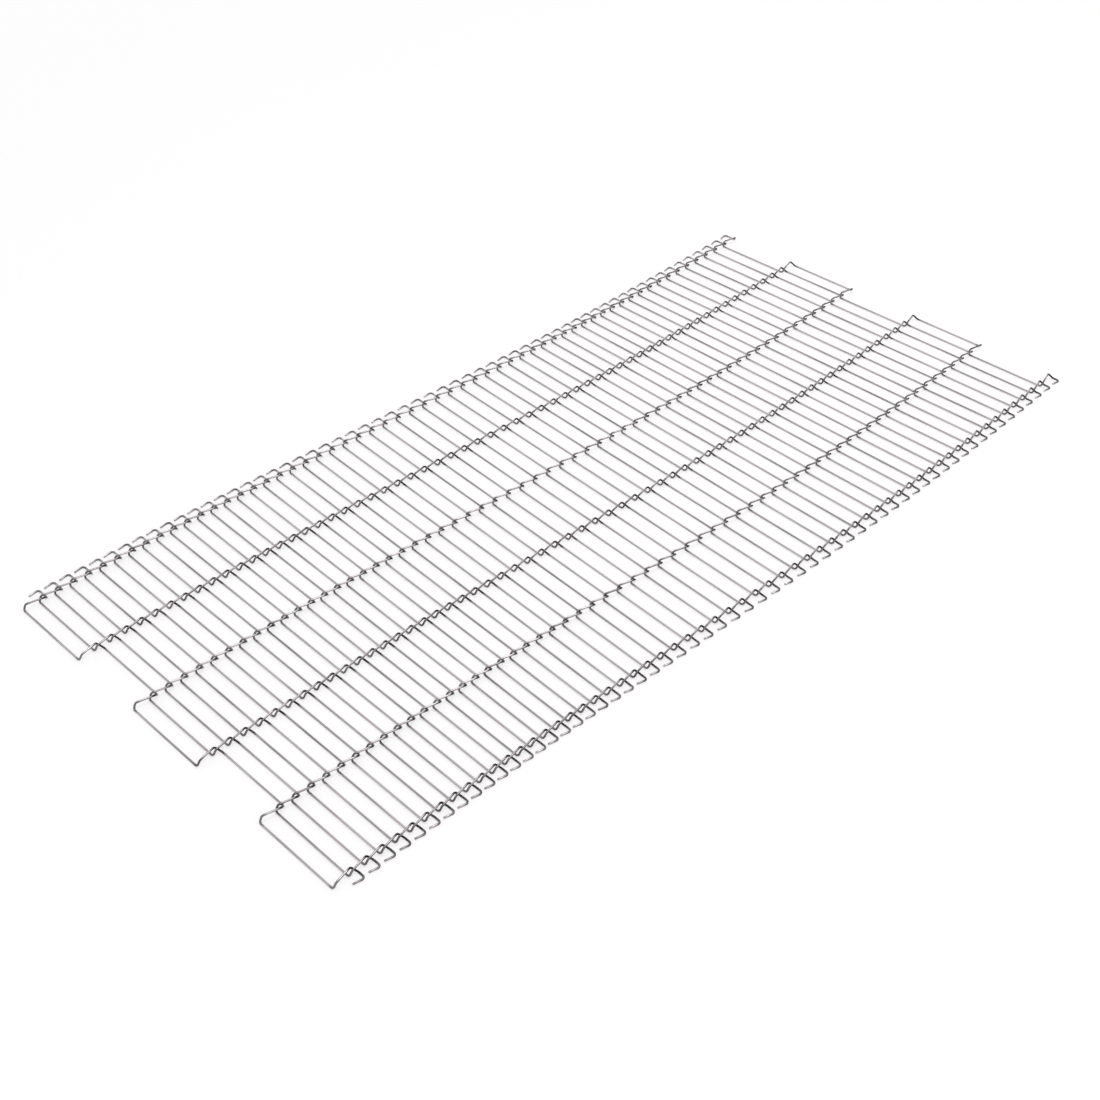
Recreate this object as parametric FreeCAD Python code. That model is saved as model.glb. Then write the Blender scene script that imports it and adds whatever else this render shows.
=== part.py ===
# Flat open-mesh wire conveyor belt: a run of equal bent-wire strands, each hooked over the next
import FreeCAD, Part
import math
import os
from FreeCAD import Placement, Rotation, Vector

# Wire and mesh, in mm
WIRE = 1.6
TAUT_PITCH = 19.05
STRANDS = 59
SPACES = 5
SPACE_WIDTH = 72.8
BEND_RADIUS = 2.2

# Depth of a strand from its front wires to its back wires, which reach a little beyond the taut pitch
HOOK_REACH = 1.2
DEPTH = TAUT_PITCH + HOOK_REACH

# Z-bend: the wire rises behind the front corner, leans across the joint line and drops to the back wire
FRONT_CORNER_OUT = 1.6
RISER_TOP_OUT = 2.0
RISER_RUN = 2.4
RISER_HEIGHT = 4.45
LEAN_ACROSS = 1.3
DROP_RUN = 3.5
DROP_HEIGHT = 4.45
BACK_CORNER_OUT = 2.3

# Hooked ends at the two edges of the belt
LEFT_STUB = 14.5
LEFT_TAIL = 9.2
RIGHT_STUB = 9.2
RIGHT_TAIL = 9.0
TAIL_LEAN = 1.9

# Slack run on a flat floor: mean spacing, uneven closing-up along it and a slight snaking sideways
SLACK_SPACING = 13.98
RUN_LENGTH = SLACK_SPACING * (STRANDS - 1)
CLOSED_UP = 20.0
CLOSED_UP_NEAR = 3.5
CLOSED_UP_ENDS = -3.4
SWAY = 5.0
SNAKE = -4.0

# Each strand's front wires ride up on the strand before it
NOSE_LIFT = 0.4


def joint_corners(line, side):
    """Corners of one Z-bend from front to back; its front wire comes from the left if side is 1."""
    return [
        Vector(line + side * FRONT_CORNER_OUT, 0, 0),
        Vector(line + side * RISER_TOP_OUT, RISER_RUN, RISER_HEIGHT),
        Vector(line - side * LEAN_ACROSS, DEPTH - DROP_RUN, DROP_HEIGHT),
        Vector(line + side * BACK_CORNER_OUT, DEPTH, 0),
    ]


def strand_corners():
    """Corners of a strand's centreline from the left tail to the right tail."""
    left = -SPACES * SPACE_WIDTH / 2
    left_edge = left - LEFT_STUB
    right_edge = -left + RIGHT_STUB
    corners = [Vector(left_edge + TAIL_LEAN, DEPTH - LEFT_TAIL, 0), Vector(left_edge, DEPTH, 0)]
    for number in range(SPACES + 1):
        line = left + number * SPACE_WIDTH
        if number % 2 == 0:
            corners += reversed(joint_corners(line, -1))
        else:
            corners += joint_corners(line, 1)
    corners += [Vector(right_edge, DEPTH, 0), Vector(right_edge - TAIL_LEAN, DEPTH - RIGHT_TAIL, 0)]
    return corners


def eased_corners(corners):
    """Each bend as two turns whose sides touch its round centreline."""
    eased = [corners[0]]
    for before, corner, after in zip(corners, corners[1:], corners[2:]):
        back = (before - corner).normalize()
        ahead = (after - corner).normalize()
        turn = math.pi - back.getAngle(ahead)
        cut = BEND_RADIUS * (math.tan(turn / 2) - math.tan(turn / 4))
        eased += [corner + back * cut, corner + ahead * cut]
    eased.append(corners[-1])
    return eased


def make_strand():
    """One strand: a single round wire along its path, lying on the floor."""
    corners = eased_corners(strand_corners())
    end_face = Part.Wire(Part.makeCircle(WIRE / 2, corners[0], corners[1] - corners[0]))
    mitred = 1
    strand = Part.makePolygon(corners).makePipeShell([end_face], True, False, mitred)
    return strand.translated(Vector(0, 0, WIRE / 2))


def run_point(place):
    """Middle of a strand's front wires, for its place from 0 at the near end to 1 at the far end."""
    turn = math.pi * place
    sideways = SWAY * math.sin(turn) + SNAKE * math.sin(2 * turn)
    closing = CLOSED_UP * math.sin(turn) + CLOSED_UP_NEAR * math.sin(2 * turn)
    closing += CLOSED_UP_ENDS * math.sin(4 * turn)
    return Vector(sideways, RUN_LENGTH * (place - 0.5) - closing, 0)


def run_placement(place, step=1e-4):
    """A strand lies square to the run's centreline."""
    heading = run_point(place + step) - run_point(place - step)
    return Placement(run_point(place), Rotation(Vector(0, 1, 0), heading))


def nose_tilt(number):
    """Tilt about the back wires; the first strand lies flat."""
    lift = NOSE_LIFT if number > 0 else 0
    nose_up = Rotation(Vector(-1, 0, 0), math.degrees(math.asin(lift / DEPTH)))
    return Placement(Vector(), nose_up, Vector(0, DEPTH, WIRE / 2))


def node_name(number):
    return f"strand_{number + 1:02d}"


def strand_placements():
    """Placements of all strands, with the middle of the belt's outline over the origin."""
    strand = make_strand()
    placements = []
    for number in range(STRANDS):
        placements.append(run_placement(number / (STRANDS - 1)).multiply(nose_tilt(number)))
    outline = FreeCAD.BoundBox()
    for placement in placements:
        laid = strand.copy()
        laid.Placement = placement.multiply(laid.Placement)
        outline.add(laid.optimalBoundingBox(False, False))
    middle = Vector(outline.Center.x, outline.Center.y, 0)
    return [Placement(placement.Base - middle, placement.Rotation) for placement in placements]


def main():
    os.makedirs("parts", exist_ok=True)
    strand = make_strand()
    for number, placement in enumerate(strand_placements()):
        laid = strand.copy()
        laid.Placement = placement.multiply(laid.Placement)
        laid.exportStep(f"parts/{node_name(number)}.step")


if __name__ == "__main__":
    main()
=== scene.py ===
# Looks of a flat open-mesh wire conveyor belt, lying slack on a white studio floor
import math
import bmesh
import bpy
from mathutils import Matrix, Vector


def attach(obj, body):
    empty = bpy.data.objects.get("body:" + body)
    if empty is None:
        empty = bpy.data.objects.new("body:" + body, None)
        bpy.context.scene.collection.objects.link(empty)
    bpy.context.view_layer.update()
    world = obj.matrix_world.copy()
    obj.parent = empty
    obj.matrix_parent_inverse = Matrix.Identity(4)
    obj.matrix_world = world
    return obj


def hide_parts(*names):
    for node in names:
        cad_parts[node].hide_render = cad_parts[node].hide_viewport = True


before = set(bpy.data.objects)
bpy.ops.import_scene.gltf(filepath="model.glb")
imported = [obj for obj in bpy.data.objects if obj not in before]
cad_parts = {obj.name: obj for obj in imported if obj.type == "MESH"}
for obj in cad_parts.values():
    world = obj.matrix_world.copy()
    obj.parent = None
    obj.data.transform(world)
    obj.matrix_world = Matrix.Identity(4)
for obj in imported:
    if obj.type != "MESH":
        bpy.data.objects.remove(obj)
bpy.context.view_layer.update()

# Camera of the photograph, in metres, with its roll in degrees and its lens and sensor in millimetres
CAMERA_PLACE = Vector((0.7275, -0.771, 0.8184))
CAMERA_TARGET = Vector((0.0387, -0.0831, 0.0))
CAMERA_ROLL = 0.84
CAMERA_LENS = 52.38
CAMERA_SENSOR = 36

# Floor, in metres: part clear as far as the belt's shadow goes, and clearer with distance from there
FLOOR_SIZE = 30.0
FLOOR_COLOUR = (0.8, 0.79, 0.795, 1)
FLOOR_DISTANCE, FLOOR_CLEARNESS = (0.7, 1.8), (0.65, 1.0)

# Studio light: the white all round, a lamp near overhead in watts, and a dark card, in metres
WHITE = (1, 1, 1, 1)
FILL_LIGHT = 1.0
LAMP_PLACE = Vector((0.4, 0.55, 2.1))
LAMP_TARGET = Vector((0.1, -0.2, 0))
LAMP_WIDTH = 0.7
LAMP_LENGTH = 1.1
LAMP_POWER = 18
CARD_COLOUR = (0.01, 0.01, 0.01, 1)
CARD_PLACE = Vector((1.8, 1.25, 1.05))
CARD_TARGET = Vector((0, 0, 0))
CARD_WIDTH = 2.4
CARD_HEIGHT = 2.2

# Stainless wire: its colours when clean and in duller stretches, and a painted shade near black that stands
# in for the dark reflections at its bends
STEEL = (0.5, 0.457, 0.471, 1)
STEEL_DULL = (0.25, 0.225, 0.234, 1)
STEEL_PAINTED_SHADE = (0.016, 0.013, 0.014, 1)

# Drawing lines and duller stretches: noise cells a metre, along and across the wire
LINE_CELLS = (60, 2500, 2500)
PATCH_CELLS = (18, 500, 500)
NOISE_DETAIL = 3.0
NOISE_ROUGHNESS = 0.55

# Ranges of the noise, and what they are spread over
DULL_NOISE, DULL_SHARE = (0.4, 0.68), (0.0, 1.0)
SHADE_STREAK_NOISE, SHADE_STREAK_SHARE = (0.4, 0.6), (0.75, 1.0)
ROUGH_NOISE, ROUGHNESS = (0.3, 0.7), (0.24, 0.38)
BUMP_STRENGTH = 0.1
BUMP_DEPTH = 0.00003

# Painted shade for the dark reflections at the bends: strength at the back, strength at the front and the
# tails, and fade in metres
BACK_PAINTED_SHADE = 1.0
FRONT_PAINTED_SHADE = 0.7
PAINTED_SHADE_FADE = 0.003

# Bends come in pairs along a strand, and of every four pairs these two lie at the back, the others in front
BENDS_IN_PAIR = 2
PAIRS_IN_ROUND = 4
BACK_PAIRS = (0, 1)

# Round wire drawn over the CAD strands, in metres, and the wire from one strand's start to the next's
SIDES = 14
BEND_STEPS = 3
END_CHAMFER = 0.00015
END_RADIUS_SHARE = 0.8
STRAND_WIRE = 0.7

# CAD mesh, in metres: edges under RING_EDGE lie round the wire, and points within WELD are one
RING_EDGE = 0.00025
WELD = 0.000001


def add_node(tree, kind, **values):
    """A shader node with its settings and the values of its sockets."""
    node = tree.nodes.new(kind)
    for name, value in values.items():
        if name in node.inputs:
            node.inputs[name].default_value = value
        else:
            setattr(node, name, value)
    return node


def new_tree(owner):
    """Empty node tree of a material or world."""
    owner.use_nodes = True
    owner.node_tree.nodes.clear()
    return owner.node_tree


def seen_directly(tree):
    """1 for rays from the camera and for those that a mirror or glass sends on, else 0."""
    path = add_node(tree, "ShaderNodeLightPath")
    either = add_node(tree, "ShaderNodeMath", operation="MAXIMUM")
    any_of = add_node(tree, "ShaderNodeMath", operation="MAXIMUM")
    tree.links.new(path.outputs["Is Camera Ray"], either.inputs[0])
    tree.links.new(path.outputs["Is Glossy Ray"], either.inputs[1])
    tree.links.new(either.outputs[0], any_of.inputs[0])
    tree.links.new(path.outputs["Is Transmission Ray"], any_of.inputs[1])
    return any_of.outputs[0]


def product(tree, first, second):
    node = add_node(tree, "ShaderNodeMath", operation="MULTIPLY")
    tree.links.new(first, node.inputs[0])
    tree.links.new(second, node.inputs[1])
    return node.outputs[0]


def noise_on(tree, place, cells):
    """Noise on the drawn wire, with that many cells a metre along and across it."""
    mapping = add_node(tree, "ShaderNodeMapping", Scale=cells)
    noise = add_node(tree, "ShaderNodeTexNoise", Scale=1.0, Detail=NOISE_DETAIL, Roughness=NOISE_ROUGHNESS)
    tree.links.new(place, mapping.inputs["Vector"])
    tree.links.new(mapping.outputs["Vector"], noise.inputs["Vector"])
    return noise.outputs["Fac"]


def spread(tree, value, source, target):
    """A value in the source range, spread over the target range."""
    node = add_node(tree, "ShaderNodeMapRange")
    node.inputs["From Min"].default_value, node.inputs["From Max"].default_value = source
    node.inputs["To Min"].default_value, node.inputs["To Max"].default_value = target
    tree.links.new(value, node.inputs["Value"])
    return node.outputs["Result"]


def mix_colours(tree, share, first, second):
    """A blend from the first colour to the second; the first may be a socket."""
    node = add_node(tree, "ShaderNodeMix", data_type="RGBA")
    tree.links.new(share, node.inputs["Factor"])
    if isinstance(first, bpy.types.NodeSocket):
        tree.links.new(first, node.inputs["A"])
    else:
        node.inputs["A"].default_value = first
    node.inputs["B"].default_value = second
    return node.outputs["Result"]


def make_steel():
    """Drawn stainless wire: fine lines along it, duller stretches, and a streaky painted shade at the bends
    that stands in for their dark reflections.
    """
    material = bpy.data.materials.new("stainless_wire")
    tree = new_tree(material)
    place = add_node(tree, "ShaderNodeAttribute", attribute_name="drawn").outputs["Vector"]
    # Painted shade: near black at the bends, in streaks, standing in for their dark reflections
    painted_shades = add_node(tree, "ShaderNodeAttribute", attribute_name="painted_shade").outputs["Fac"]
    lines = noise_on(tree, place, LINE_CELLS)
    duller = spread(tree, noise_on(tree, place, PATCH_CELLS), DULL_NOISE, DULL_SHARE)
    shade_streaks = product(tree, painted_shades, spread(tree, lines, SHADE_STREAK_NOISE, SHADE_STREAK_SHARE))
    unshaded = mix_colours(tree, duller, STEEL, STEEL_DULL)
    colour = mix_colours(tree, shade_streaks, unshaded, STEEL_PAINTED_SHADE)
    bump = add_node(tree, "ShaderNodeBump", Strength=BUMP_STRENGTH, Distance=BUMP_DEPTH)
    shader = add_node(tree, "ShaderNodeBsdfPrincipled", Metallic=1.0)
    output = add_node(tree, "ShaderNodeOutputMaterial")
    tree.links.new(lines, bump.inputs["Height"])
    tree.links.new(colour, shader.inputs["Base Color"])
    tree.links.new(spread(tree, lines, ROUGH_NOISE, ROUGHNESS), shader.inputs["Roughness"])
    tree.links.new(bump.outputs["Normal"], shader.inputs["Normal"])
    tree.links.new(shader.outputs[0], output.inputs["Surface"])
    return material


def ring_middles(mesh):
    """Middles of the rings where the CAD wire's runs meet, from left end to right end, and its radius."""
    shape = bmesh.new()
    shape.from_mesh(mesh)
    bmesh.ops.remove_doubles(shape, verts=shape.verts, dist=WELD)
    ring_of = {}
    rings = []
    for vertex in shape.verts:
        ring, waiting = [], [vertex]
        while waiting:
            point = waiting.pop()
            if point not in ring_of:
                ring_of[point] = len(rings)
                ring.append(point)
                waiting += [e.other_vert(point) for e in point.link_edges if e.calc_length() < RING_EDGE]
        if ring:
            rings.append(ring)
    beside = []
    for number, ring in enumerate(rings):
        beside.append({ring_of[e.other_vert(v)] for v in ring for e in v.link_edges} - {number})
    middles = [sum((v.co for v in ring), Vector()) / len(ring) for ring in rings]
    radius = min((v.co - middles[0]).length for v in rings[0])
    ends = [number for number, near in enumerate(beside) if len(near) == 1]
    order = [min(ends, key=lambda number: middles[number].x)]
    while beside[order[-1]] - set(order):
        order += beside[order[-1]] - set(order)
    shape.free()
    return [middles[number] for number in order], radius


def half_bend(start, corner, end):
    """Points of a round turn that leaves start towards corner and reaches end from it."""
    for step in range(BEND_STEPS):
        share = step / BEND_STEPS
        yield start.lerp(corner, share).lerp(corner.lerp(end, share), share)


def faded_run(start, end):
    """Stations that end the painted shade on a straight run, if it is long enough for that."""
    run = end - start
    if run.length < 2 * PAINTED_SHADE_FADE:
        return []
    fade = run.normalized() * PAINTED_SHADE_FADE
    return [(start + fade, 0.0), (end - fade, 0.0)]


def wire_stations(corners):
    """Stations along the wire as (point, painted shade), with each pair of mitred turns made one round
    bend.

    The bends and the short runs between them get a painted shade, which stands in for the dark reflections
    they show.
    """
    stations = [(corners[0], 0.0)]
    turns = list(zip(corners[0::2], corners[1::2], corners[2::2], corners[3::2]))
    for number, (before, first, second, after) in enumerate(turns):
        at_back = (number + 1) // BENDS_IN_PAIR % PAIRS_IN_ROUND in BACK_PAIRS
        on_tail = number in (0, len(turns) - 1)
        # Painted shade for the dark reflections at the bends, strongest on the back bends
        painted_shade = BACK_PAINTED_SHADE if at_back and not on_tail else FRONT_PAINTED_SHADE
        reach = (second - first).length / 2
        start = first + (before - first).normalized() * reach
        middle = (first + second) / 2
        end = second + (after - second).normalized() * reach
        stations += faded_run(stations[-1][0], start)
        stations += [(point, painted_shade) for point in half_bend(start, first, middle)]
        stations += [(point, painted_shade) for point in half_bend(middle, second, end)]
        stations.append((end, painted_shade))
    stations += faded_run(stations[-1][0], corners[-1])
    stations.append((corners[-1], 0.0))
    return stations


def chamfered(stations, radius):
    """Points, painted shade and radii along the wire, with a chamfer added at both cut ends."""
    points = [point for point, painted_shade in stations]
    painted_shades = [0.0] + [painted_shade for point, painted_shade in stations] + [0.0]
    radii = [radius * END_RADIUS_SHARE] + [radius] * len(points) + [radius * END_RADIUS_SHARE]
    points.insert(1, points[0] + (points[1] - points[0]).normalized() * END_CHAMFER)
    points.insert(-1, points[-1] + (points[-2] - points[-1]).normalized() * END_CHAMFER)
    return points, painted_shades, radii


def tube_faces(rings):
    """Faces of a tube of that many rings: both ends, then the sides."""
    last = (rings - 1) * SIDES
    faces = [tuple(reversed(range(SIDES))), tuple(range(last, last + SIDES))]
    for first in range(0, last, SIDES):
        for step in range(SIDES):
            here, there = first + step, first + (step + 1) % SIDES
            faces.append((here, there, there + SIDES, here + SIDES))
    return faces


def sweep_wire(name, stations, radius, along):
    """Tube along the stations. Each of its points keeps its place on the straight wire that it is cut from.

    Along is where on that wire the strand starts.
    """
    points, painted_shades, radii = chamfered(stations, radius)
    heading = (points[1] - points[0]).normalized()
    side = heading.orthogonal().normalized()
    verts, drawn, shade_values = [], [], []
    for number, point in enumerate(points):
        before = points[max(number - 1, 0)]
        after = points[min(number + 1, len(points) - 1)]
        turned = (after - before).normalized()
        side = heading.rotation_difference(turned) @ side
        heading = turned
        other = heading.cross(side)
        along += (point - before).length
        for step in range(SIDES):
            angle = 2 * math.pi * step / SIDES
            around = Vector((math.cos(angle), math.sin(angle))) * radii[number]
            verts.append(point + side * around.x + other * around.y)
            drawn += [along, around.x, around.y]
            shade_values.append(painted_shades[number])
    mesh = bpy.data.meshes.new(name)
    mesh.from_pydata(verts, [], tube_faces(len(points)))
    mesh.attributes.new("drawn", "FLOAT_VECTOR", "POINT").data.foreach_set("vector", drawn)
    # Painted shade for the dark reflections at the bends, which the wire's material reads
    mesh.attributes.new("painted_shade", "FLOAT", "POINT").data.foreach_set("value", shade_values)
    for face in mesh.polygons:
        face.use_smooth = len(face.vertices) < SIDES
    return mesh


def dress_strands(material):
    """Each strand as one smoothly bent round wire, on the runs of its CAD wire."""
    for number, (name, strand) in enumerate(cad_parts.items()):
        corners, radius = ring_middles(strand.data)
        mesh = sweep_wire(name, wire_stations(corners), radius, number * STRAND_WIRE)
        mesh.materials.append(material)
        wire = bpy.data.objects.new(f"{name}_wire", mesh)
        bpy.context.collection.objects.link(wire)
        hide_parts(name)
        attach(wire, name)


def make_floor():
    """Floor that keeps a faint shadow round the belt and lets the white studio show through it.

    A pose in which the belt dips below the floor stays in sight that way.
    """
    bpy.ops.mesh.primitive_plane_add(size=FLOOR_SIZE)
    floor = bpy.context.object
    floor.name = "floor"
    material = bpy.data.materials.new("floor_white")
    tree = new_tree(material)
    place = add_node(tree, "ShaderNodeTexCoord")
    distance = add_node(tree, "ShaderNodeVectorMath", operation="LENGTH")
    paper = add_node(tree, "ShaderNodeBsdfDiffuse", Color=FLOOR_COLOUR)
    clear = add_node(tree, "ShaderNodeBsdfTransparent", Color=WHITE)
    blend = add_node(tree, "ShaderNodeMixShader")
    output = add_node(tree, "ShaderNodeOutputMaterial")
    tree.links.new(place.outputs["Object"], distance.inputs[0])
    clearness = spread(tree, distance.outputs["Value"], FLOOR_DISTANCE, FLOOR_CLEARNESS)
    tree.links.new(product(tree, seen_directly(tree), clearness), blend.inputs["Fac"])
    tree.links.new(paper.outputs[0], blend.inputs[1])
    tree.links.new(clear.outputs[0], blend.inputs[2])
    tree.links.new(blend.outputs[0], output.inputs["Surface"])
    floor.data.materials.append(material)


def make_world():
    """White all round, at a plain level of light."""
    world = bpy.data.worlds.new("studio")
    bpy.context.scene.world = world
    tree = new_tree(world)
    sky = add_node(tree, "ShaderNodeBackground", Color=WHITE, Strength=FILL_LIGHT)
    output = add_node(tree, "ShaderNodeOutputWorld")
    tree.links.new(sky.outputs[0], output.inputs["Surface"])


def aim(place, target, axis):
    """Turn that points an object's axis from its place to the target."""
    return (target - place).to_track_quat(axis, "Y")


def make_lamp():
    """Soft lamp high above the belt."""
    data = bpy.data.lights.new("top_light", "AREA")
    data.shape = "RECTANGLE"
    data.size = LAMP_WIDTH
    data.size_y = LAMP_LENGTH
    data.energy = LAMP_POWER
    lamp = bpy.data.objects.new("top_light", data)
    lamp.location = LAMP_PLACE
    lamp.rotation_euler = aim(LAMP_PLACE, LAMP_TARGET, "-Z").to_euler()
    bpy.context.collection.objects.link(lamp)


def make_dark_card():
    """Black card outside the picture, which draws the dark edge that bright wire has in a studio."""
    bpy.ops.mesh.primitive_plane_add(size=1, location=CARD_PLACE)
    card = bpy.context.object
    card.name = "dark_card"
    card.scale = (CARD_WIDTH, CARD_HEIGHT, 1)
    card.rotation_euler = aim(CARD_PLACE, CARD_TARGET, "Z").to_euler()
    material = bpy.data.materials.new("card_black")
    tree = new_tree(material)
    felt = add_node(tree, "ShaderNodeBsdfDiffuse", Color=CARD_COLOUR)
    output = add_node(tree, "ShaderNodeOutputMaterial")
    tree.links.new(felt.outputs[0], output.inputs["Surface"])
    card.data.materials.append(material)
    card.visible_camera = False
    card.visible_diffuse = False
    card.visible_shadow = False


def make_camera():
    data = bpy.data.cameras.new("camera")
    data.sensor_width = CAMERA_SENSOR
    data.lens = CAMERA_LENS
    camera = bpy.data.objects.new("camera", data)
    roll = Matrix.Rotation(math.radians(CAMERA_ROLL), 3, "Z")
    turned = aim(CAMERA_PLACE, CAMERA_TARGET, "-Z").to_matrix() @ roll
    camera.matrix_world = Matrix.Translation(CAMERA_PLACE) @ turned.to_4x4()
    bpy.context.collection.objects.link(camera)
    bpy.context.scene.camera = camera


dress_strands(make_steel())
make_floor()
make_world()
make_lamp()
make_dark_card()
make_camera()
bpy.context.scene.view_settings.view_transform = "Standard"
